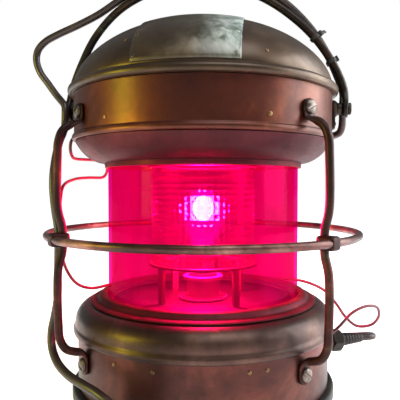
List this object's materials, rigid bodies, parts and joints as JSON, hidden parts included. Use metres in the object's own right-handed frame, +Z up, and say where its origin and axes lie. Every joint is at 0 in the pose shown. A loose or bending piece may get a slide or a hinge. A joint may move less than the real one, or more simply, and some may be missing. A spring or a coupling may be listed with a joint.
{
  "type": "ship lantern",
  "caption": "Electric ship lantern with a domed brass cap, tinted glass cylinder, rod-and-ring guard, swinging bail and tied power cable.",
  "frame": {"origin": "middle of the base, on the surface that the lantern stands on", "axes": "+Z up along the lantern's axis, -Y towards the front with the maker's plate, the bail's pivot axis along X"},
  "size_m": [0.331, 0.3975, 0.3776],
  "materials": {
    "drum_brass": "satin",
    "bronze": "satin",
    "dark_bronze": "satin",
    "guard_bronze": "satin",
    "bail_bronze": "satin",
    "black_base": "matte",
    "plate_brass": "satin",
    "steel": "brushed",
    "red_glass": "gloss",
    "clear_glass": "gloss",
    "lamp_glass": "gloss",
    "rubber": "matte",
    "cable": "satin",
    "thin_wire": "satin",
    "ceramic": "satin"
  },
  "bodies": {
    "root": {"base_pan": "black_base", "lower_drum": "drum_brass", "lower_shoulder": "bronze", "inner_deck": "dark_bronze", "glass_seat_ring": "dark_bronze", "lower_glass_gasket": "rubber", "globe_glass": "red_glass", "upper_glass_gasket": "rubber", "upper_collar": "dark_bronze", "upper_skirt": "bronze", "upper_deck": "dark_bronze", "upper_drum": "drum_brass", "dome_cap": "bronze", "maker_plate": "plate_brass", "fresnel_lens": "clear_glass", "lens_frame_lower": "dark_bronze", "lens_frame_upper": "dark_bronze", "lamp_holder": "ceramic", "bulb_cap": "steel", "bulb_glass": "lamp_glass", "terminal_block": "ceramic", "gland_to_terminal_wire": "cable", "terminal_to_holder_wire": "cable", "guard_ring": "guard_bronze", "guard_rod_left": "guard_bronze", "guard_rod_right": "guard_bronze", "guard_rod_rear": "guard_bronze", "ring_clamp_left": "guard_bronze", "ring_clamp_right": "guard_bronze", "ring_clamp_rear": "guard_bronze", "guard_screw_upper_left": "steel", "guard_screw_upper_right": "steel", "guard_screw_upper_rear": "steel", "guard_screw_lower_left": "steel", "guard_screw_lower_right": "steel", "guard_screw_lower_rear": "steel", "bail_lug_left": "dark_bronze", "bail_lug_right": "dark_bronze", "bail_pivot_nut_left": "dark_bronze", "bail_pivot_nut_right": "dark_bronze", "cable_rear": "cable", "cable_down": "cable", "cable_coil": "cable", "gland_body": "plate_brass", "gland_nut": "dark_bronze", "strain_relief": "rubber", "thin_wire": "thin_wire", "plug_body": "rubber", "plug_pins": "steel"},
    "bail": {"bail_handle": "bail_bronze", "bail_tie_1": "rubber", "bail_tie_2": "rubber", "bail_tie_3": "rubber", "bail_tie_4": "rubber", "cable_on_bail": "cable", "cable_loop": "cable"}
  },
  "joints": [
    {"name": "bail_pivot", "type": "hinge", "parent": "root", "child": "bail", "pos_m": [0, 0, 0.25], "axis": [1, 0, 0], "range_deg": [-50, 50]}
  ]
}
